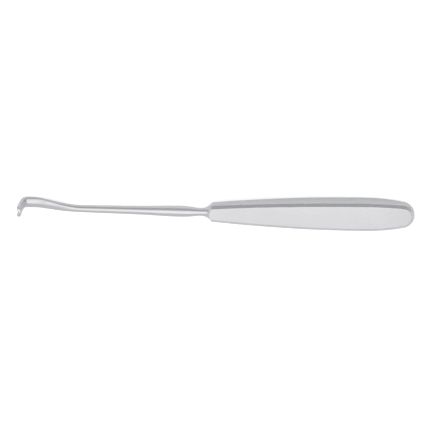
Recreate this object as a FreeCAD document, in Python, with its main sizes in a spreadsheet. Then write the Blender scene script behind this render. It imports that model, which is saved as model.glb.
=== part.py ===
"""Handheld surgical retractor: one piece of forged and ground stainless steel.

The instrument lies with its hook turned up. +X runs along the handle to its rounded end,
+Y runs across it and +Z is up. The origin is the middle of the flat on the underside of
the handle. The blade dips below that flat, so the whole instrument is tipped a little
about Y: it rests on the back of the blade and on the end of the handle.
"""
import FreeCAD, Part
import math
import os

import Sketcher
from FreeCAD import Placement, Rotation, Vector

# Driving dimensions: millimetres, or degrees where the name says angle.
DIMENSIONS = {
    # Handle, measured along X from the middle of its flat.
    "butt_distance": 36.0,
    "neck_distance": 71.5,
    "widest_distance": 10.8,
    "flat_length": 22.0,
    # Handle widths, across Y.
    "handle_width": 15.35,
    "neck_blank_width": 7.9,
    "butt_side_radius": 135.0,
    # Handle thicknesses, along Z.
    "handle_thickness": 10.4,
    "neck_blank_thickness": 7.0,
    "butt_thickness": 6.2,
    "taper_blend_radius": 400.0,
    # Bevel round both broad faces, and the softness of its edges.
    "handle_chamfer": 1.55,
    "edge_softness": 0.6,
    # Turned shoulder between the neck and the handle.
    "shoulder_diameter": 10.3,
    "flare_radius": 6.4,
    "shoulder_round": 2.0,
    "blank_overrun": 1.0,
    # Round shank, measured along its own axis from the neck.
    "shank_set_angle": 1.8,
    "neck_diameter": 4.0,
    "swell_diameter": 5.6,
    "swell_distance": 10.3,
    "swell_neck_radius": 15.0,
    "taper_diameter": 4.45,
    "taper_distance": 32.0,
    "root_diameter": 3.7,
    "shank_length": 59.5,
    # Blade, measured along its path from the end of the shank.
    "dip_angle": 22.5,
    "dip_radius": 34.0,
    "dip_length": 9.2,
    "sole_radius": 17.0,
    "sole_length": 1.6,
    "hook_radius": 2.3,
    "hook_angle": 77.0,
    "lip_length": 10.6,
    "lip_curl_angle": 11.0,
    "tip_length": 1.6,
    # Blade section.
    "blade_width": 5.7,
    "blade_thickness": 2.0,
    "saddle_radius": 3.1,
}

DIP_SECTIONS = 5
HOOK_SECTIONS = 4
LIP_SECTIONS = 2
TIP_ANGLES = (20.0, 40.0, 60.0, 80.0)
CUT_MARGIN = 3.0
RIGHT_ANGLE = math.degrees(math.pi / 2)


class Quantity:
    """A size that knows its value and the sheet expression that gives it."""

    def __init__(self, value, text):
        self.value = value
        self.text = text

    def _combine(self, other, value, sign):
        return Quantity(value, f"({self.text} {sign} {other.text})")

    def __add__(self, other):
        other = quantity(other)
        return self._combine(other, self.value + other.value, "+")

    def __sub__(self, other):
        other = quantity(other)
        return self._combine(other, self.value - other.value, "-")

    def __mul__(self, other):
        other = quantity(other)
        return self._combine(other, self.value * other.value, "*")

    def __truediv__(self, other):
        other = quantity(other)
        return self._combine(other, self.value / other.value, "/")

    def __neg__(self):
        return Quantity(-self.value, f"(0 - {self.text})")


def quantity(number):
    """A plain number as a Quantity."""
    if isinstance(number, Quantity):
        return number
    return Quantity(float(number), f"{number:.6g}")


def size(name):
    """A driving dimension."""
    return Quantity(DIMENSIONS[name], f"dims.{name}")


def sine(angle):
    return Quantity(math.sin(math.radians(angle.value)), f"sin({angle.text})")


def cosine(angle):
    return Quantity(math.cos(math.radians(angle.value)), f"cos({angle.text})")


def arcsine(ratio):
    return Quantity(math.degrees(math.asin(ratio.value)), f"asin({ratio.text})")


def slope_angle(rise, run):
    return Quantity(math.degrees(math.atan2(rise.value, run.value)), f"atan2({rise.text}; {run.text})")


def root(square):
    return Quantity(math.sqrt(square.value), f"sqrt({square.text})")


def chord_height(radius, half_chord):
    """Distance from a circle's centre to a chord, given half the chord's length."""
    return root(radius * radius - half_chord * half_chord)


def make_sheet(doc):
    """Write each driving dimension and its name into the sheet."""
    sheet = doc.addObject("Spreadsheet::Sheet", "dims")
    for row, (name, value) in enumerate(DIMENSIONS.items(), start=1):
        sheet.set(f"A{row}", name)
        sheet.set(f"B{row}", str(value))
        sheet.setAlias(f"B{row}", name)
    doc.recompute()


def make_sketch(body, name, role, offset):
    """An empty sketch on one of the body's origin planes.

    The offset is three lengths and an angle, in the plane's own axes: the sketch is
    moved by the lengths, then turned by the angle about the axis named with it.
    """
    shift, axis, angle = offset
    plane = next(item for item in body.Origin.OriginFeatures if item.Role == role)
    sketch = body.newObject("Sketcher::SketchObject", name)
    sketch.AttachmentSupport = [(plane, "")]
    sketch.MapMode = "FlatFace"
    place = "; ".join(part.text for part in shift)
    turn = "; ".join(str(part) for part in axis)
    sketch.setExpression("AttachmentOffset", f"placement(vector({place}); vector({turn}); {angle.text})")
    values = Vector(*(part.value for part in shift))
    sketch.AttachmentOffset = Placement(values, Rotation(Vector(*axis), angle.value))
    return sketch


def line(start, end):
    return Part.LineSegment(Vector(start[0], start[1], 0), Vector(end[0], end[1], 0))


def arc(centre, radius, start_angle, end_angle):
    """A counterclockwise arc, with its angles in radians."""
    circle = Part.Circle(Vector(centre[0], centre[1], 0), Vector(0, 0, 1), radius)
    return Part.ArcOfCircle(circle, start_angle, end_angle)


def fix(sketch, kind, where, value):
    """Hold one size of a sketch at a Quantity."""
    index = sketch.addConstraint(Sketcher.Constraint(kind, *where, value.value))
    sketch.setExpression(f"Constraints[{index}]", value.text)


def fix_point(sketch, geometry, point, x, y):
    """Hold a point's coordinates."""
    fix(sketch, "DistanceX", (geometry, point), x)
    fix(sketch, "DistanceY", (geometry, point), y)


def relate(sketch, kind, *where):
    sketch.addConstraint(Sketcher.Constraint(kind, *where))


START, END, CENTRE = range(1, 4)
ORIGIN, HORIZONTAL_AXIS = -1, -1


def handle_plan(body):
    """The handle's outline from above: two long arcs, two side arcs and a round nose."""
    sketch = make_sketch(body, "handle_plan", "XY_Plane", (
        (quantity(0), quantity(0), size("handle_thickness") / 2), (0, 0, 1), quantity(0)))
    left = -(size("neck_distance") + size("blank_overrun"))
    half_width = size("handle_width") / 2
    half_neck = size("neck_blank_width") / 2
    widest = size("widest_distance")
    butt = size("butt_distance")
    side_radius = size("butt_side_radius")

    # The long arc passes through the blank's end and is level at the widest place.
    run = widest.value - left.value
    rise = half_width.value - half_neck.value
    long_radius = (run**2 + rise**2) / (2 * rise)
    long_sweep = math.asin(run / long_radius)
    # The nose touches both side arcs from inside and reaches the butt distance.
    reach = butt.value - widest.value
    drop = side_radius.value - half_width.value
    nose_radius = (side_radius.value**2 - reach**2 - drop**2) / (2 * (side_radius.value - reach))
    nose_x = butt.value - nose_radius
    side_sweep = math.atan2(nose_x - widest.value, drop)

    top, bottom = math.pi / 2, -math.pi / 2
    sketch.addGeometry(line((left.value, half_neck.value), (left.value, -half_neck.value)))
    sketch.addGeometry(arc((widest.value, half_width.value - long_radius), long_radius,
                           top, top + long_sweep))
    sketch.addGeometry(arc((widest.value, -drop), side_radius.value, top - side_sweep, top))
    sketch.addGeometry(arc((nose_x, 0), nose_radius, side_sweep - top, top - side_sweep))
    sketch.addGeometry(arc((widest.value, drop), side_radius.value, bottom, bottom + side_sweep))
    sketch.addGeometry(arc((widest.value, long_radius - half_width.value), long_radius,
                           bottom - long_sweep, bottom))
    sketch.addGeometry(Part.Point(Vector(butt.value, 0, 0)), True)
    end_line, upper_long, upper_side, nose, lower_side, lower_long, apex = range(7)

    relate(sketch, "Tangent", upper_long, START, upper_side, END)
    relate(sketch, "Tangent", upper_side, START, nose, END)
    relate(sketch, "Tangent", nose, START, lower_side, END)
    relate(sketch, "Tangent", lower_side, START, lower_long, END)
    relate(sketch, "Coincident", end_line, START, upper_long, END)
    relate(sketch, "Coincident", end_line, END, lower_long, START)
    relate(sketch, "Symmetric", end_line, START, end_line, END, HORIZONTAL_AXIS)
    relate(sketch, "Symmetric", upper_long, START, lower_long, END, HORIZONTAL_AXIS)
    relate(sketch, "Vertical", upper_long, CENTRE, upper_long, START)
    relate(sketch, "Vertical", lower_long, CENTRE, lower_long, END)
    relate(sketch, "Equal", upper_side, lower_side)
    relate(sketch, "PointOnObject", apex, START, nose)
    relate(sketch, "PointOnObject", apex, START, HORIZONTAL_AXIS)
    fix_point(sketch, end_line, START, left, half_neck)
    fix_point(sketch, upper_long, START, widest, half_width)
    fix(sketch, "Radius", (upper_side,), side_radius)
    fix(sketch, "DistanceX", (apex, START), butt)
    return sketch


def elevation_side(sketch, side):
    """One broad face seen from the side: taper, blend, rest flat and fall to the butt."""
    left = -(size("neck_distance") + size("blank_overrun") * 2)
    right = size("butt_distance") + CUT_MARGIN
    butt = size("butt_distance")
    flat_end = size("flat_length") / 2
    level = size("handle_thickness") / 2 * side
    left_level = size("neck_blank_thickness") / 2 * side
    butt_level = size("butt_thickness") / 2 * side
    blend = size("taper_blend_radius")

    # The taper line runs from the blank's end and touches the blend arc.
    centre = (-flat_end.value, level.value - side * blend.value)
    to_end = (left.value - centre[0], side * (left_level.value - centre[1]))
    span = math.hypot(*to_end)
    touch = math.atan2(-to_end[0], to_end[1]) - math.acos(blend.value / span)
    touch_point = (centre[0] - blend.value * math.sin(touch),
                   centre[1] + side * blend.value * math.cos(touch))
    run = butt.value - flat_end.value
    drop = abs(level.value - butt_level.value)
    fall_radius = (run**2 + drop**2) / (2 * drop)
    fall_sweep = math.asin(run / fall_radius)
    fall_centre = (flat_end.value, level.value - side * fall_radius)

    first = sketch.GeometryCount
    up = side * math.pi / 2
    blend_angles = sorted((up, up + side * touch))
    fall_angles = sorted((up, up - side * fall_sweep))
    sketch.addGeometry(line((left.value, left_level.value), touch_point))
    sketch.addGeometry(arc(centre, blend.value, *blend_angles))
    sketch.addGeometry(line((-flat_end.value, level.value), (flat_end.value, level.value)))
    sketch.addGeometry(arc(fall_centre, fall_radius, *fall_angles))
    sketch.addGeometry(line((butt.value, butt_level.value), (right.value, butt_level.value)))
    taper, blend_arc, flat, fall, lead_out = range(first, first + 5)

    blend_left, blend_right = (END, START) if side > 0 else (START, END)
    relate(sketch, "Tangent", taper, END, blend_arc, blend_left)
    relate(sketch, "Tangent", blend_arc, blend_right, flat, START)
    relate(sketch, "Tangent", flat, END, fall, blend_left)
    relate(sketch, "Coincident", fall, blend_right, lead_out, START)
    relate(sketch, "Horizontal", flat)
    relate(sketch, "Horizontal", lead_out)
    fix_point(sketch, taper, START, left, left_level)
    fix_point(sketch, flat, START, -flat_end, level)
    fix(sketch, "DistanceX", (flat, END), flat_end)
    fix(sketch, "Radius", (blend_arc,), blend)
    fix_point(sketch, lead_out, START, butt, butt_level)
    fix(sketch, "DistanceX", (lead_out, END), right)
    return taper, lead_out


def handle_elevation(body):
    """The waste round the handle's side view: a frame with the side view as its window."""
    sketch = make_sketch(body, "handle_elevation", "XZ_Plane", (
        (quantity(0), size("handle_thickness") / 2, quantity(0)), (0, 0, 1), quantity(0)))
    upper_taper, upper_end = elevation_side(sketch, 1)
    lower_taper, lower_end = elevation_side(sketch, -1)
    for upper, lower, point in ((upper_taper, lower_taper, START), (upper_end, lower_end, END)):
        closing = sketch.addGeometry(line(
            tuple(sketch.getPoint(upper, point))[:2], tuple(sketch.getPoint(lower, point))[:2]))
        relate(sketch, "Coincident", closing, START, upper, point)
        relate(sketch, "Coincident", closing, END, lower, point)

    left = -(size("neck_distance") + size("blank_overrun") * 2 + CUT_MARGIN)
    right = size("butt_distance") + CUT_MARGIN * 2
    level = size("handle_thickness") / 2 + CUT_MARGIN
    corners = ((left, level), (left, -level), (right, -level), (right, level))
    values = [(x.value, y.value) for x, y in corners]
    frame = [sketch.addGeometry(line(values[i], values[(i + 1) % 4])) for i in range(4)]
    for i in range(4):
        relate(sketch, "Coincident", frame[i], END, frame[(i + 1) % 4], START)
        fix_point(sketch, frame[i], START, *corners[i])
    return sketch


def face_kind(face):
    """Which part of the handle a face belongs to, from the way its middle points."""
    u_low, u_high, v_low, v_high = face.ParameterRange
    normal = face.normalAt((u_low + u_high) / 2, (v_low + v_high) / 2)
    if abs(normal.z) > math.cos(math.radians(20)):
        return "broad"
    if abs(normal.z) > math.cos(math.radians(70)):
        return "bevel"
    if normal.x < -math.cos(math.radians(20)):
        return "end"
    return "narrow"


def edges_between(shape, first, second):
    """Names of the edges where a face of one kind meets a face of another."""
    sides = {first: [], second: []}
    for face in shape.Faces:
        kind = face_kind(face)
        if kind in sides:
            sides[kind] += face.Edges
    names = []
    for index, edge in enumerate(shape.Edges, start=1):
        if all(any(edge.isSame(other) for other in side) for side in sides.values()):
            names.append(f"Edge{index}")
    return names


def turned_axis_offset():
    """The turned parts share an axis through the neck, set slightly downwards."""
    return ((-size("neck_distance"), quantity(0), size("handle_thickness") / 2),
            (0, 1, 0), -size("shank_set_angle"))


def shoulder_profile(body):
    """Waste removed by turning the shoulder: a hollow flare ending in a rounded corner."""
    sketch = make_sketch(body, "shoulder_profile", "XY_Plane", turned_axis_offset())
    neck = size("neck_diameter") / 2
    top = size("shoulder_diameter") / 2
    flare = size("flare_radius")
    corner = size("shoulder_round")
    left = -(size("blank_overrun") + CUT_MARGIN)
    outside = size("handle_width")

    # Both arcs turn through the same angle, so the flare leaves the neck and meets the
    # largest diameter parallel to the axis.
    turn = math.acos(1 - (top.value - neck.value) / (flare.value + corner.value))
    length = (flare.value + corner.value) * math.sin(turn)
    down, up = -math.pi / 2, math.pi / 2
    sketch.addGeometry(arc((0, neck.value + flare.value), flare.value, down, down + turn))
    sketch.addGeometry(arc((length, top.value - corner.value), corner.value, up, up + turn))
    joints = [(length, top.value), (length, outside.value), (left.value, outside.value),
              (left.value, 0), (0, 0), (0, neck.value)]
    for start, end in zip(joints, joints[1:]):
        sketch.addGeometry(line(start, end))
    hollow, rounded, wall, outer, back, axis_line, face = range(7)

    relate(sketch, "Tangent", hollow, END, rounded, END)
    relate(sketch, "Coincident", rounded, START, wall, START)
    for first, second in zip((wall, outer, back, axis_line), (outer, back, axis_line, face)):
        relate(sketch, "Coincident", first, END, second, START)
    relate(sketch, "Coincident", face, END, hollow, START)
    relate(sketch, "Vertical", hollow, CENTRE, hollow, START)
    relate(sketch, "Vertical", rounded, CENTRE, rounded, START)
    relate(sketch, "Vertical", wall)
    fix_point(sketch, face, START, quantity(0), quantity(0))
    fix_point(sketch, face, END, quantity(0), neck)
    fix(sketch, "Radius", (hollow,), flare)
    fix(sketch, "Radius", (rounded,), corner)
    fix(sketch, "DistanceY", (rounded, START), top)
    fix(sketch, "DistanceY", (wall, END), outside)
    fix_point(sketch, outer, END, left, outside)
    fix_point(sketch, back, END, left, quantity(0))
    return sketch


def shank_profile(body):
    """Half section of the round shank: hollow neck, swell, long hollow run and taper."""
    sketch = make_sketch(body, "shank_profile", "XY_Plane", turned_axis_offset())
    neck = size("neck_diameter") / 2
    swell = size("swell_diameter") / 2
    taper = size("taper_diameter") / 2
    tip = size("root_diameter") / 2
    swell_x = -size("swell_distance")
    taper_x = -size("taper_distance")
    tip_x = -size("shank_length")
    neck_radius = size("swell_neck_radius")

    # Neck to swell: two arcs that share the slope where they meet.
    rise = swell.value - neck.value
    run = -swell_x.value
    swell_radius = (run**2 + rise**2) / (2 * rise) - neck_radius.value
    slope = math.asin(run / (swell_radius + neck_radius.value))
    # Swell to taper: two equal arcs, the second touching the taper line.
    taper_slope = math.atan2(taper.value - tip.value, taper_x.value - tip_x.value)
    run = swell_x.value - taper_x.value
    rise = swell.value - taper.value
    across = run * run + rise * rise
    ahead = rise * (1 + math.cos(taper_slope)) - run * math.sin(taper_slope)
    bend = 2 - 2 * math.cos(taper_slope)
    fall_radius = across / (ahead + math.sqrt(ahead * ahead + bend * across))
    first_centre = (swell_x.value, swell.value - fall_radius)
    second_centre = (taper_x.value - fall_radius * math.sin(taper_slope),
                     taper.value + fall_radius * math.cos(taper_slope))
    heading = math.atan2(second_centre[1] - first_centre[1], second_centre[0] - first_centre[0])

    down, up = -math.pi / 2, math.pi / 2
    sketch.addGeometry(arc((0, neck.value + neck_radius.value), neck_radius.value,
                           down - slope, down))
    sketch.addGeometry(arc((swell_x.value, swell.value - swell_radius), swell_radius,
                           up - slope, up))
    sketch.addGeometry(arc(first_centre, fall_radius, up, heading))
    sketch.addGeometry(arc(second_centre, fall_radius, down + taper_slope, heading - math.pi))
    joints = [(taper_x.value, taper.value), (tip_x.value, tip.value), (tip_x.value, 0),
              (0, 0), (0, neck.value)]
    for start, end in zip(joints, joints[1:]):
        sketch.addGeometry(line(start, end))
    hollow, crown, fall, run_out, taper_line, tip_face, axis_line, neck_face = range(8)

    relate(sketch, "Tangent", hollow, START, crown, START)
    relate(sketch, "Tangent", crown, END, fall, START)
    relate(sketch, "Tangent", fall, END, run_out, END)
    relate(sketch, "Tangent", run_out, START, taper_line, START)
    relate(sketch, "Equal", fall, run_out)
    relate(sketch, "Coincident", taper_line, END, tip_face, START)
    relate(sketch, "Coincident", tip_face, END, axis_line, START)
    relate(sketch, "Coincident", axis_line, END, neck_face, START)
    relate(sketch, "Coincident", neck_face, END, hollow, END)
    relate(sketch, "Vertical", hollow, CENTRE, hollow, END)
    relate(sketch, "Vertical", crown, CENTRE, crown, END)
    fix(sketch, "Radius", (hollow,), neck_radius)
    fix_point(sketch, crown, END, swell_x, swell)
    fix_point(sketch, taper_line, START, taper_x, taper)
    fix_point(sketch, taper_line, END, tip_x, tip)
    fix_point(sketch, tip_face, END, tip_x, quantity(0))
    fix_point(sketch, neck_face, START, quantity(0), quantity(0))
    fix(sketch, "DistanceY", (neck_face, END), neck)
    fix(sketch, "DistanceX", (neck_face, END), quantity(0))
    return sketch


class Path:
    """The line of the blade's rims in side view, walked from the shank to the lip.

    The depth is measured down from the handle's axis, and the angle from level, downwards.
    """

    def __init__(self):
        angle = size("shank_set_angle")
        length = size("shank_length")
        self.x = -(size("neck_distance") + length * cosine(angle))
        self.depth = length * sine(angle)
        self.angle = angle

    def run(self, length):
        """Go straight on."""
        self.x = self.x - length * cosine(self.angle)
        self.depth = self.depth + length * sine(self.angle)

    def dip(self, radius, angle):
        """Turn downwards, to a steeper angle."""
        self.x = self.x - radius * (sine(angle) - sine(self.angle))
        self.depth = self.depth + radius * (cosine(self.angle) - cosine(angle))
        self.angle = angle

    def lift(self, radius, angle):
        """Turn upwards, past level where the angle is negative."""
        self.x = self.x - radius * (sine(self.angle) - sine(angle))
        self.depth = self.depth - radius * (cosine(self.angle) - cosine(angle))
        self.angle = angle


def section_sketch(body, name, path):
    """A sketch square to the blade's path: its x axis points outwards, y across."""
    level = size("handle_thickness") / 2 - path.depth
    return make_sketch(body, name, "XY_Plane", (
        (path.x, quantity(0), level), (0, 1, 0), quantity(RIGHT_ANGLE) - path.angle))


def round_section(body, name, path):
    """The end of the shank, as four quarter arcs."""
    sketch = section_sketch(body, name, path)
    radius = size("root_diameter") / 2
    quarter = math.pi / 2
    for start in (-quarter / 2, quarter / 2, quarter * 1.5, quarter * 2.5):
        sketch.addGeometry(arc((0, 0), radius.value, start, start + quarter))
    for index in range(1, 4):
        relate(sketch, "Coincident", index - 1, END, index, START)
        relate(sketch, "Coincident", index, CENTRE, 0, CENTRE)
    relate(sketch, "Horizontal", 3, END, 0, START)
    relate(sketch, "Coincident", 0, CENTRE, ORIGIN, 1)
    fix(sketch, "Radius", (0,), radius)
    reach = radius * cosine(quantity(RIGHT_ANGLE / 2))
    fix(sketch, "DistanceX", (0, END), reach)
    fix(sketch, "DistanceX", (1, END), -reach)
    fix(sketch, "DistanceX", (2, END), -reach)
    fix(sketch, "DistanceX", (3, END), reach)
    return sketch


def strip_section(body, name, path, width, thickness, curve, centre):
    """A strip of even thickness with round rims, curved about a centre on its outer side."""
    sketch = section_sketch(body, name, path)
    half_reach = (width - thickness) / 2
    inner = curve + thickness / 2
    outer = curve - thickness / 2
    swing = math.asin(half_reach.value / curve.value)
    rim_x = centre.value - curve.value * math.cos(swing)
    rim = thickness.value / 2
    back = math.pi
    sketch.addGeometry(arc((centre.value, 0), outer.value, back - swing, back + swing))
    sketch.addGeometry(arc((centre.value, 0), inner.value, back - swing, back + swing))
    sketch.addGeometry(arc((rim_x, half_reach.value), rim, -swing, back - swing))
    sketch.addGeometry(arc((rim_x, -half_reach.value), rim, back + swing, 2 * back + swing))
    outer_arc, inner_arc, far_rim, near_rim = range(4)

    relate(sketch, "Tangent", outer_arc, START, far_rim, START)
    relate(sketch, "Tangent", far_rim, END, inner_arc, START)
    relate(sketch, "Tangent", inner_arc, END, near_rim, START)
    relate(sketch, "Tangent", near_rim, END, outer_arc, END)
    relate(sketch, "Coincident", outer_arc, CENTRE, inner_arc, CENTRE)
    fix_point(sketch, outer_arc, CENTRE, centre, quantity(0))
    fix(sketch, "Radius", (outer_arc,), outer)
    fix(sketch, "Radius", (inner_arc,), inner)
    fix(sketch, "DistanceY", (far_rim, CENTRE), half_reach)
    fix(sketch, "DistanceY", (near_rim, CENTRE), -half_reach)
    return sketch


def flattening_section(body, name, path, share):
    """A section part of the way from the round shank to the full blade."""
    spread = quantity((share + share * share * (3 - 2 * share)) / 2)
    thinned = sine(quantity(RIGHT_ANGLE * share))
    width = size("root_diameter") + (size("blade_width") - size("root_diameter")) * spread
    thickness = size("root_diameter") - (size("root_diameter") - size("blade_thickness")) * thinned
    curve = size("saddle_radius") / spread
    centre = chord_height(curve, (width - thickness) / 2)
    return strip_section(body, name, path, width, thickness, curve, centre)


def tip_section(body, name, path, angle):
    """A section of the lip's rounded end, where width and thickness run out together."""
    width = size("blade_width") * cosine(angle)
    half_thickness = size("blade_thickness") / 2
    short = size("tip_length") * (sine(angle) - 1) + half_thickness
    thickness = size("blade_thickness")
    if short.value > 0:
        thickness = root(half_thickness * half_thickness - short * short) * 2
    curve = size("saddle_radius")
    centre = chord_height(curve, (size("blade_width") - size("blade_thickness")) / 2)
    return strip_section(body, name, path, width, thickness, curve, centre)


def dip_sections(body, path):
    """Sections from the end of the shank, down the slope and on to the level sole."""
    sections = [round_section(body, "blade_root", path)]
    path.dip(size("dip_radius"), size("dip_angle"))
    sections.append(flattening_section(body, "blade_dip_1", path, 1 / DIP_SECTIONS))
    for step in range(2, DIP_SECTIONS):
        path.run(size("dip_length") / (DIP_SECTIONS - 2))
        sections.append(flattening_section(body, f"blade_dip_{step}", path, step / DIP_SECTIONS))
    path.lift(size("sole_radius"), quantity(0))
    path.run(size("sole_length"))
    sections.append(flattening_section(body, "blade_sole", path, 1))
    return sections


def hook_sections(body, path):
    """Sections round the tight bend that stands the lip up."""
    sections = []
    for step in range(1, HOOK_SECTIONS + 1):
        path.lift(size("hook_radius"), -size("hook_angle") * (step / HOOK_SECTIONS))
        sections.append(flattening_section(body, f"hook_{step}", path, 1))
    return sections


def lip_sections(body, path):
    """Sections up the lip, which curls on a little further."""
    radius = size("lip_length") / size("lip_curl_angle") * (2 * RIGHT_ANGLE / math.pi)
    sections = []
    for step in range(1, LIP_SECTIONS + 1):
        path.lift(radius, -size("hook_angle") - size("lip_curl_angle") * (step / LIP_SECTIONS))
        sections.append(flattening_section(body, f"lip_{step}", path, 1))
    return sections


def tip_sections(body, path):
    """Sections of the lip's end, closer together as it narrows."""
    sections = []
    reached = quantity(0)
    for step, angle in enumerate(TIP_ANGLES, start=1):
        along = size("tip_length") * sine(quantity(angle))
        path.run(along - reached)
        reached = along
        sections.append(tip_section(body, f"tip_{step}", path, quantity(angle)))
    return sections


def rest_pitch():
    """The angle that the instrument tips through, from a level handle, to lie at rest.

    It touches the floor with two rounds: the outside of the blade's sole and the fall at
    the end of the handle's underside. The floor is the line that touches both from below.
    """
    path = Path()
    path.dip(size("dip_radius"), size("dip_angle"))
    path.run(size("dip_length"))
    path.lift(size("sole_radius"), quantity(0))
    sole_height = size("handle_thickness") / 2 - path.depth + size("sole_radius")
    sole_outside = size("sole_radius") + size("blade_thickness") / 2
    flat_end = size("flat_length") / 2
    fall_run = size("butt_distance") - flat_end
    fall_drop = (size("handle_thickness") - size("butt_thickness")) / 2
    fall_radius = (fall_run * fall_run + fall_drop * fall_drop) / (fall_drop * 2)

    along = flat_end - path.x
    up = fall_radius - sole_height
    apart = root(along * along + up * up)
    return slope_angle(up, along) - arcsine((fall_radius - sole_outside) / apart)


def add_loft(body, name, sections):
    """A smooth skin over the sections, joined to the body."""
    loft = body.newObject("PartDesign::AdditiveLoft", name)
    loft.Profile = sections[0]
    loft.Sections = sections[1:]
    body.Document.recompute()


def make_retractor(doc):
    """Build the whole forging as one body."""
    body = doc.addObject("PartDesign::Body", "retractor")
    body.Label = "retractor"

    blank = body.newObject("PartDesign::Pad", "handle_blank")
    blank.Profile = handle_plan(body)
    blank.setExpression("Length", "dims.handle_thickness")
    blank.Midplane = True
    doc.recompute()

    sides = body.newObject("PartDesign::Pocket", "handle_side_view")
    sides.Profile = handle_elevation(body)
    sides.Type = 1
    sides.Midplane = True
    doc.recompute()

    bevel = body.newObject("PartDesign::Chamfer", "handle_bevel")
    bevel.Base = (sides, edges_between(sides.Shape, "broad", "narrow"))
    bevel.setExpression("Size", "dims.handle_chamfer")
    doc.recompute()

    softened = body.newObject("PartDesign::Fillet", "softened_edges")
    edges = edges_between(bevel.Shape, "broad", "bevel") + edges_between(bevel.Shape, "bevel", "narrow")
    softened.Base = (bevel, edges)
    softened.setExpression("Radius", "dims.edge_softness")
    doc.recompute()

    shoulder = body.newObject("PartDesign::Groove", "shoulder")
    shoulder_sketch = shoulder_profile(body)
    shoulder.Profile = shoulder_sketch
    shoulder.ReferenceAxis = (shoulder_sketch, ["H_Axis"])
    shoulder.Angle = 360
    doc.recompute()

    shank = body.newObject("PartDesign::Revolution", "shank")
    shank_sketch = shank_profile(body)
    shank.Profile = shank_sketch
    shank.ReferenceAxis = (shank_sketch, ["H_Axis"])
    shank.Angle = 360
    doc.recompute()

    path = Path()
    blade = dip_sections(body, path)
    hook = [blade[-1]] + hook_sections(body, path)
    lip = [hook[-1]] + lip_sections(body, path)
    tip = [lip[-1]] + tip_sections(body, path)
    add_loft(body, "blade", blade)
    add_loft(body, "hook", hook)
    add_loft(body, "lip", lip)
    add_loft(body, "tip", tip)

    pitch = rest_pitch()
    body.setExpression("Placement", f"placement(vector(0; 0; 0); vector(0; 1; 0); {pitch.text})")
    print("rest pitch", f"{pitch.value:.4f} degrees")
    return body


def check(doc, bodies):
    """Stop if any feature failed or any solid isn't sound."""
    for item in doc.Objects:
        if {"Invalid", "Error"} & set(item.State):
            raise RuntimeError(f"{item.Name} failed: {item.State}")
    for body in bodies:
        if body.Shape.isNull() or not body.Shape.isValid() or len(body.Shape.Solids) != 1:
            raise RuntimeError(f"{body.Label} is not one sound solid")


def main():
    doc = FreeCAD.newDocument("retractor")
    make_sheet(doc)
    bodies = [make_retractor(doc)]
    doc.recompute()
    check(doc, bodies)
    os.makedirs("parts", exist_ok=True)
    for body in bodies:
        body.Shape.exportStep(f"parts/{body.Label}.step")
        print(body.Label, f"{body.Shape.Volume:.1f} mm3", body.Shape.BoundBox)


main()
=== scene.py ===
"""Handheld surgical retractor in satin stainless steel, lying on a pale floor in a soft studio.

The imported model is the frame. Its handle and shank are shown as they are. Its blade has creases
where it leaves the shank and where the hook begins, so the blade is drawn again here as one smooth
skin over the same path, with nearly the same sections. Lengths are in metres, and +Z is up.
"""

import math

import bmesh
import bpy
from mathutils import Matrix, Vector


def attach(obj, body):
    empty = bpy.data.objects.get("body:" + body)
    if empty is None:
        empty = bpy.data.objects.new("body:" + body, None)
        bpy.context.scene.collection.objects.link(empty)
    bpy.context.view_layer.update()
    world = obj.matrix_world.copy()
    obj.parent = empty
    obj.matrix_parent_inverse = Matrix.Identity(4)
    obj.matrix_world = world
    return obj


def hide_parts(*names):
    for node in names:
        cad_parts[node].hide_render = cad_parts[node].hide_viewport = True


MM = 0.001

# The instrument is set out with its handle level, and then turned to rest on its blade and on
# the handle's end
REST_TURN = Matrix.Rotation(math.radians(1.6945), 3, "Y")
AXIS_HEIGHT = 5.2 * MM

# The shank's axis, from the neck to the blade. Each angle is measured from level, downwards
NECK = Vector((-71.5 * MM, 0, AXIS_HEIGHT))
SHANK_LENGTH = 59.5 * MM
SHANK_ANGLE = math.radians(1.8)
ROOT_DIAMETER = 3.7 * MM

# How near the plane of the shank's end a corner has to be to count as on its rim
RIM_TOLERANCE = 0.01 * MM

# The line of the blade's rims, from the shank's end to the tip of the lip
DIP_RADIUS = 34.0 * MM
DIP_ANGLE = math.radians(22.5)
DIP_LENGTH = 9.2 * MM
SOLE_RADIUS = 17.0 * MM
SOLE_LENGTH = 1.6 * MM
HOOK_RADIUS = 2.3 * MM
HOOK_ANGLE = math.radians(77.0)
LIP_LENGTH = 10.6 * MM
LIP_CURL_ANGLE = math.radians(11.0)
TIP_LENGTH = 1.6 * MM
LAST_TIP_ANGLE = math.radians(86.0)

# The number of sections that each stretch of the blade is drawn with
DIP_STEPS = 16
SLOPE_STEPS = 8
SOLE_CURVE_STEPS = 12
SOLE_STEPS = 3
HOOK_STEPS = 24
LIP_STEPS = 12
TIP_STEPS = 9
STRETCHES_BEFORE_HOOK = 4

# The blade's section, and where between the shank and the hook it spreads
BLADE_WIDTH = 5.7 * MM
BLADE_THICKNESS = 2.0 * MM
SADDLE_RADIUS = 3.1 * MM
SPREAD_START = 0.08
SPREAD_END = 0.92
LEAST_SPREAD = 0.001
OUTLINE_POINTS = 96

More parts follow.
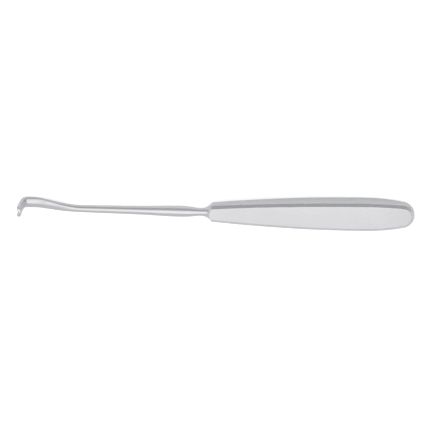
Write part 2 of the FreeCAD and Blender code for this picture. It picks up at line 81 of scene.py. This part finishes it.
# Satin stainless steel. Real polishing lines are about 0.05 mm apart, too fine to show at this
# picture's size, so the streaks and the rings are drawn further apart. The streaks of the handle
# give way to the rings of the shank from the shoulder on
STEEL_GREY = "#DDDDDF"
STEEL_DULL_GREY = "#D4D4D7"
STREAK_SPACING = 0.6 * MM
STREAK_LENGTH = 100 / 3 * MM
RING_SPACING = 1.5 * MM
RING_LENGTH = 12.5 * MM
RING_LOW = 0.35
RING_HIGH = 0.65
SHOULDER_X = -67.0 * MM
SHOULDER_BLEND = 4.0 * MM
CLOUD_SIZE = 14.0 * MM
GRAIN_LOW = 0.3
GRAIN_HIGH = 0.7
LEAST_ROUGHNESS = 0.26
MOST_ROUGHNESS = 0.31
BUMP_STRENGTH = 0.02
BUMP_DEPTH = 0.02 * MM

# A colour mix node has its two colours and its result at these places
FIRST_COLOUR = 6
SECOND_COLOUR = 7
MIXED_COLOUR = 2

# The floor and the studio
WHITE = (1.0, 1.0, 1.0, 1.0)
FLOOR_HALF_WIDTH = 3.0
FLOOR_GAP = 0.02 * MM
FLOOR_GREY = "#E4E5E6"
FLOOR_LIFT_SEEN = 0.6
FLOOR_LIFT_MIRRORED = 0.2
STUDIO_SEEN = 1.0
STUDIO_PALE = 0.7
STUDIO_PALE_UNTIL = -0.2
STUDIO_DIM = 0.48
STUDIO_DIM_FROM = 0.7
SOFTBOX_HEIGHT = 0.6
SOFTBOX_WIDTH = 1.8
SOFTBOX_DEPTH = 0.7
SOFTBOX_MIDDLE = (-0.25, 0.07)
SOFTBOX_BRIGHTNESS = 0.6

# The photograph's view: from above the handle's broad face, leaning to +Y
LEAN = math.radians(24.0)
ROLL = math.radians(0.86)
PICTURE_CENTRE_X = -64.47 * MM
PICTURE_CENTRE_UP = -0.44 * MM
PICTURE_WIDTH = 216.6 * MM
LENS = 200.0
SENSOR_WIDTH = 36.0
NEAREST_SEEN = 0.01
FARTHEST_SEEN = 20.0


def linear(code):
    """The linear colour of an sRGB hex code, with an alpha of 1."""
    parts = [int(code[i : i + 2], 16) / 255 for i in (1, 3, 5)]
    return tuple(c / 12.92 if c <= 0.04045 else ((c + 0.055) / 1.055) ** 2.4 for c in parts) + (1.0,)


def add_node(tree, kind, settings=None, values=None, links=None):
    """Adds a node, sets its properties and sockets, and links its inputs to other nodes' outputs."""
    node = tree.nodes.new(kind)
    for name, value in (settings or {}).items():
        setattr(node, name, value)
    for name, value in (values or {}).items():
        node.inputs[name].default_value = value
    for name, (source, output) in (links or {}).items():
        tree.links.new(source.outputs[output], node.inputs[name])
    return node


def empty_tree(owner):
    """The owner's node tree, emptied."""
    owner.use_nodes = True
    owner.node_tree.nodes.clear()
    return owner.node_tree


def add_noise(tree, place, spacing, detail, roughness):
    """Noise with patches of about the given spacing along X, Y and Z."""
    scaled = add_node(
        tree,
        "ShaderNodeMapping",
        values={"Scale": [1.0 / length for length in spacing]},
        links={"Vector": (place, "Object")},
    )
    return add_node(
        tree,
        "ShaderNodeTexNoise",
        values={"Scale": 1.0, "Detail": detail, "Roughness": roughness},
        links={"Vector": (scaled, "Vector")},
    )


def add_polishing_lines(tree, place):
    """Streaks along the handle, and fainter rings round the shank and the blade."""
    streak_spacing = (STREAK_LENGTH, STREAK_SPACING, STREAK_SPACING)
    streaks = add_noise(tree, place, streak_spacing, detail=3.0, roughness=0.6)
    ring_spacing = (RING_SPACING, RING_LENGTH, RING_LENGTH)
    rings = add_noise(tree, place, ring_spacing, detail=2.0, roughness=0.5)
    faint_rings = add_node(
        tree,
        "ShaderNodeMapRange",
        values={"To Min": RING_LOW, "To Max": RING_HIGH},
        links={"Value": (rings, "Fac")},
    )
    along = add_node(tree, "ShaderNodeSeparateXYZ", links={"Vector": (place, "Object")})
    on_shank = add_node(
        tree,
        "ShaderNodeMapRange",
        values={"From Min": SHOULDER_X, "From Max": SHOULDER_X - SHOULDER_BLEND},
        links={"Value": (along, "X")},
    )
    return add_node(
        tree,
        "ShaderNodeMix",
        settings={"data_type": "FLOAT"},
        links={
            "Factor": (on_shank, "Result"),
            "A": (streaks, "Fac"),
            "B": (faint_rings, "Result"),
        },
    )


def make_satin_steel():
    """Forged stainless steel, ground and satin polished.

    The handle is polished lengthwise, so that faint streaks run along it. The shank and the
    blade are polished on a spindle, so that faint rings run round them. Handling and steam leave
    a faint cloudiness. All of it is a soft mirror of the room.
    """
    material = bpy.data.materials.new("satin_polished_stainless_steel")
    tree = empty_tree(material)
    place = add_node(tree, "ShaderNodeTexCoord")
    grain = add_polishing_lines(tree, place)
    clouds = add_noise(tree, place, [CLOUD_SIZE] * 3, detail=3.0, roughness=0.55)
    colour = add_node(
        tree,
        "ShaderNodeMix",
        settings={"data_type": "RGBA"},
        values={FIRST_COLOUR: linear(STEEL_GREY), SECOND_COLOUR: linear(STEEL_DULL_GREY)},
        links={"Factor": (clouds, "Fac")},
    )
    roughness = add_node(
        tree,
        "ShaderNodeMapRange",
        values={
            "From Min": GRAIN_LOW,
            "From Max": GRAIN_HIGH,
            "To Min": LEAST_ROUGHNESS,
            "To Max": MOST_ROUGHNESS,
        },
        links={"Value": (grain, "Result")},
    )
    bump = add_node(
        tree,
        "ShaderNodeBump",
        values={"Strength": BUMP_STRENGTH, "Distance": BUMP_DEPTH},
        links={"Height": (grain, "Result")},
    )
    steel = add_node(
        tree,
        "ShaderNodeBsdfPrincipled",
        values={"Metallic": 1.0},
        links={
            "Base Color": (colour, MIXED_COLOUR),
            "Roughness": (roughness, "Result"),
            "Normal": (bump, "Normal"),
        },
    )
    add_node(tree, "ShaderNodeOutputMaterial", links={"Surface": (steel, "BSDF")})
    return material


def heading(angle):
    """The way a line runs that goes towards -X and down at the angle."""
    return Vector((-math.cos(angle), 0, -math.sin(angle)))


def smoothed(share):
    """A share from 0 to 1 that starts and ends level."""
    return share * share * (3 - 2 * share)


def strip_outline(width, thickness, curve, widest_half):
    """Points round a strip that is curved across, as pairs of outward and sideways lengths.

    Two long arcs share a centre on the outward side, and a half circle closes each rim. The
    curve is the radius halfway between the long arcs. The widest half is half the way between
    the rims' centres where the strip has its full width, which fixes the arcs' centre. The
    points are evenly spaced, and start at the middle of the outer face.
    """
    half = (width - thickness) / 2
    rim = thickness / 2
    centre = math.sqrt(curve**2 - widest_half**2)
    swing = math.asin(half / curve)
    rim_out = centre - curve * math.cos(swing)

    # Each arc's centre outwards and sideways, its radius, and the angles it starts and ends at
    arcs = (
        (rim_out, half, rim, -swing, math.pi - swing),
        (centre, 0, curve + rim, math.pi - swing, math.pi + swing),
        (rim_out, -half, rim, math.pi + swing, 2 * math.pi + swing),
        (centre, 0, curve - rim, math.pi + swing, math.pi - swing),
    )
    lengths = [radius * abs(end - start) for _, _, radius, start, end in arcs]
    around = sum(lengths)
    points = []
    for index in range(OUTLINE_POINTS):
        along = (around * index / OUTLINE_POINTS - lengths[-1] / 2) % around
        for (out, side, radius, start, end), length in zip(arcs, lengths):
            if along < length:
                break
            along -= length
        angle = start + (end - start) * along / length
        points.append((out + radius * math.cos(angle), side + radius * math.sin(angle)))
    return points


def blade_outline(share):
    """The blade's outline at a share of the way from the shank's end to the hook."""
    spreading = (share - SPREAD_START) / (SPREAD_END - SPREAD_START)
    spreading = min(max(spreading, 0.0), 1.0)
    spread = max((spreading + smoothed(spreading)) / 2, LEAST_SPREAD)
    thinned = math.sin(math.pi / 2 * spreading)
    width = ROOT_DIAMETER + (BLADE_WIDTH - ROOT_DIAMETER) * spread
    thickness = ROOT_DIAMETER - (ROOT_DIAMETER - BLADE_THICKNESS) * thinned
    return strip_outline(width, thickness, SADDLE_RADIUS / spread, (width - thickness) / 2)


def blade_stretches():
    """The blade's stretches as their length, the angle they end at and their number of steps."""
    return (
        (DIP_RADIUS * (DIP_ANGLE - SHANK_ANGLE), DIP_ANGLE, DIP_STEPS),
        (DIP_LENGTH, DIP_ANGLE, SLOPE_STEPS),
        (SOLE_RADIUS * DIP_ANGLE, 0.0, SOLE_CURVE_STEPS),
        (SOLE_LENGTH, 0.0, SOLE_STEPS),
        (HOOK_RADIUS * HOOK_ANGLE, -HOOK_ANGLE, HOOK_STEPS),
        (LIP_LENGTH, -HOOK_ANGLE - LIP_CURL_ANGLE, LIP_STEPS),
    )


def tip_sections(end, angle):
    """The sections that round off the lip's tip: each one's place, angle and outline."""
    widest_half = (BLADE_WIDTH - BLADE_THICKNESS) / 2
    rim = BLADE_THICKNESS / 2
    sections = []
    for step in range(1, TIP_STEPS + 1):
        swing = LAST_TIP_ANGLE * step / TIP_STEPS
        along = TIP_LENGTH * math.sin(swing)
        into_rim = max(rim + along - TIP_LENGTH, 0.0)
        width = BLADE_WIDTH * math.cos(swing)
        thickness = 2 * math.sqrt(rim**2 - into_rim**2)
        outline = strip_outline(width, thickness, SADDLE_RADIUS, widest_half)
        sections.append((end + along * heading(angle), angle, outline))
    return sections


def blade_sections():
    """Every section of the blade: its place, its angle and its outline."""
    stretches = blade_stretches()
    way_to_hook = sum(length for length, _, _ in stretches[:STRETCHES_BEFORE_HOOK])
    angle = SHANK_ANGLE
    place = NECK + SHANK_LENGTH * heading(angle)
    walked = 0.0
    sections = [(place, angle, blade_outline(walked))]
    for length, end_angle, steps in stretches:
        turn = (end_angle - angle) / steps
        for _ in range(steps):
            place = place + length / steps * heading(angle + turn / 2)
            angle += turn
            walked += length / steps
            sections.append((place, angle, blade_outline(walked / way_to_hook)))
    return sections + tip_sections(place, angle)


def finished_piece(name, shape, steel):
    """An object made from the shape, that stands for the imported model's own."""
    mesh = bpy.data.meshes.new(name)
    shape.to_mesh(mesh)
    shape.free()
    mesh.materials.append(steel)
    piece = bpy.data.objects.new(name, mesh)
    bpy.context.scene.collection.objects.link(piece)
    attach(piece, "root")
    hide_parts("retractor")
    return piece


def make_blade(steel):
    """The blade as one smooth closed skin, from the shank's end to the tip of the lip."""
    shape = bmesh.new()
    rings = []
    for place, angle, outline in blade_sections():
        outwards = Vector((math.sin(angle), 0, -math.cos(angle)))
        points = [place + outwards * out + Vector((0, side, 0)) for out, side in outline]
        rings.append([shape.verts.new(REST_TURN @ point) for point in points])
    for ring, following in zip(rings, rings[1:]):
        for index in range(OUTLINE_POINTS):
            after = (index + 1) % OUTLINE_POINTS
            face = shape.faces.new((ring[index], ring[after], following[after], following[index]))
            face.smooth = True
    for ring in (rings[0], rings[-1]):
        end_face = shape.faces.new(ring)
        for edge in end_face.edges:
            edge.smooth = False
    bmesh.ops.recalc_face_normals(shape, faces=shape.faces)
    return finished_piece("blade", shape, steel)


def make_handle_and_shank(node, steel):
    """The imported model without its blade, closed with a flat face at the shank's end."""
    down_the_shank = REST_TURN @ heading(SHANK_ANGLE)
    shank_end = REST_TURN @ NECK + SHANK_LENGTH * down_the_shank

    def beyond_the_shank(point):
        return (point - shank_end).dot(down_the_shank)

    shape = bmesh.new()
    shape.from_mesh(node.data)
    blade = [face for face in shape.faces if beyond_the_shank(face.calc_center_median()) > 0]
    bmesh.ops.delete(shape, geom=blade, context="FACES")
    rim = [
        edge
        for edge in shape.edges
        if edge.is_boundary
        and all(abs(beyond_the_shank(vert.co)) < RIM_TOLERANCE for vert in edge.verts)
    ]
    bmesh.ops.contextual_create(shape, geom=rim)
    for edge in rim:
        edge.smooth = False
    return finished_piece("handle_and_shank", shape, steel)


def make_white_paper():
    """Matt paper, lifted to white for the eye and a little paler where the metal mirrors it."""
    material = bpy.data.materials.new("matt_white_paper")
    tree = empty_tree(material)
    paper = add_node(
        tree, "ShaderNodeBsdfDiffuse", values={"Color": linear(FLOOR_GREY), "Roughness": 1.0}
    )
    ray = add_node(tree, "ShaderNodeLightPath")
    seen = add_node(
        tree,
        "ShaderNodeMath",
        settings={"operation": "MULTIPLY"},
        values={1: FLOOR_LIFT_SEEN},
        links={0: (ray, "Is Camera Ray")},
    )
    seen_or_mirrored = add_node(
        tree,
        "ShaderNodeMath",
        settings={"operation": "MULTIPLY_ADD"},
        values={1: FLOOR_LIFT_MIRRORED},
        links={0: (ray, "Is Glossy Ray"), 2: (seen, "Value")},
    )
    lift = add_node(
        tree,
        "ShaderNodeEmission",
        values={"Color": WHITE},
        links={"Strength": (seen_or_mirrored, "Value")},
    )
    both = add_node(tree, "ShaderNodeAddShader", links={0: (paper, "BSDF"), 1: (lift, "Emission")})
    add_node(tree, "ShaderNodeOutputMaterial", links={"Surface": (both, "Shader")})
    return material


def make_floor(height):
    """A wide pale floor, which keeps the instrument's faint shadow."""
    shape = bmesh.new()
    bmesh.ops.create_grid(shape, x_segments=1, y_segments=1, size=FLOOR_HALF_WIDTH)
    bmesh.ops.translate(shape, verts=shape.verts, vec=(0, 0, height))
    mesh = bpy.data.meshes.new("floor")
    shape.to_mesh(mesh)
    shape.free()
    mesh.materials.append(make_white_paper())
    floor = bpy.data.objects.new("floor", mesh)
    bpy.context.scene.collection.objects.link(floor)


def make_studio():
    """The room: white to the eye. In the metal it is pale towards -Y and dim towards +Y."""
    world = bpy.data.worlds.new("studio")
    bpy.context.scene.world = world
    tree = empty_tree(world)
    place = add_node(tree, "ShaderNodeTexCoord")
    way = add_node(tree, "ShaderNodeSeparateXYZ", links={"Vector": (place, "Generated")})
    mirrored = add_node(
        tree,
        "ShaderNodeMapRange",
        settings={"interpolation_type": "SMOOTHSTEP"},
        values={
            "From Min": STUDIO_PALE_UNTIL,
            "From Max": STUDIO_DIM_FROM,
            "To Min": STUDIO_PALE,
            "To Max": STUDIO_DIM,
        },
        links={"Value": (way, "Y")},
    )
    ray = add_node(tree, "ShaderNodeLightPath")
    strength = add_node(
        tree,
        "ShaderNodeMix",
        settings={"data_type": "FLOAT"},
        values={"B": STUDIO_SEEN},
        links={"Factor": (ray, "Is Camera Ray"), "A": (mirrored, "Result")},
    )
    room = add_node(
        tree,
        "ShaderNodeBackground",
        values={"Color": WHITE},
        links={"Strength": (strength, "Result")},
    )
    add_node(tree, "ShaderNodeOutputWorld", links={"Surface": (room, "Background")})


def make_softbox():
    """A wide softbox overhead, which makes the long highlight on the shank.

    Its front edge is where the broad face's own reflection begins to leave it, so that face
    is a little darker than the highlight. Its power is its brightness times pi times its area.
    """
    lamp = bpy.data.lights.new("overhead_softbox", "AREA")
    lamp.shape = "RECTANGLE"
    lamp.size = SOFTBOX_WIDTH
    lamp.size_y = SOFTBOX_DEPTH
    lamp.energy = SOFTBOX_BRIGHTNESS * math.pi * SOFTBOX_WIDTH * SOFTBOX_DEPTH
    box = bpy.data.objects.new("overhead_softbox", lamp)
    box.location = (*SOFTBOX_MIDDLE, SOFTBOX_HEIGHT)
    box.visible_camera = False
    bpy.context.scene.collection.objects.link(box)


def make_camera():
    """The photograph's camera, far off with a long lens."""
    back = REST_TURN @ Vector((0, math.sin(LEAN), math.cos(LEAN)))
    across = REST_TURN @ Vector((1, 0, 0))
    upward = REST_TURN @ Vector((0, math.cos(LEAN), -math.sin(LEAN)))
    right = across * math.cos(ROLL) + upward * math.sin(ROLL)
    up = upward * math.cos(ROLL) - across * math.sin(ROLL)
    on_the_axis = REST_TURN @ Vector((PICTURE_CENTRE_X, 0, AXIS_HEIGHT))
    centre = on_the_axis + upward * PICTURE_CENTRE_UP
    distance = PICTURE_WIDTH * LENS / SENSOR_WIDTH

    lens = bpy.data.cameras.new("camera")
    lens.lens = LENS
    lens.sensor_width = SENSOR_WIDTH
    lens.clip_start = NEAREST_SEEN
    lens.clip_end = FARTHEST_SEEN
    camera = bpy.data.objects.new("camera", lens)
    turn = Matrix((right, up, back)).transposed().to_4x4()
    camera.matrix_world = Matrix.Translation(centre + back * distance) @ turn
    bpy.context.scene.collection.objects.link(camera)
    bpy.context.scene.camera = camera


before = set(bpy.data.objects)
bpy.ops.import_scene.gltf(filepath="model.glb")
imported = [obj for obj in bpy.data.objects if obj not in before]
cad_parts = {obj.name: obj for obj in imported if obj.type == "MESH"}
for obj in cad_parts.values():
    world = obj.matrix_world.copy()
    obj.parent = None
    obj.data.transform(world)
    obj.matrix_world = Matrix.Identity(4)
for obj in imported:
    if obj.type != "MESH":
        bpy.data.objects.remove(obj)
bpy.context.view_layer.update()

steel = make_satin_steel()
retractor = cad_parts["retractor"]
pieces = [make_handle_and_shank(retractor, steel), make_blade(steel)]
lowest = min(vert.co.z for piece in pieces for vert in piece.data.vertices)
make_floor(lowest - FLOOR_GAP)
make_studio()
make_softbox()
make_camera()
bpy.context.scene.view_settings.view_transform = "Standard"
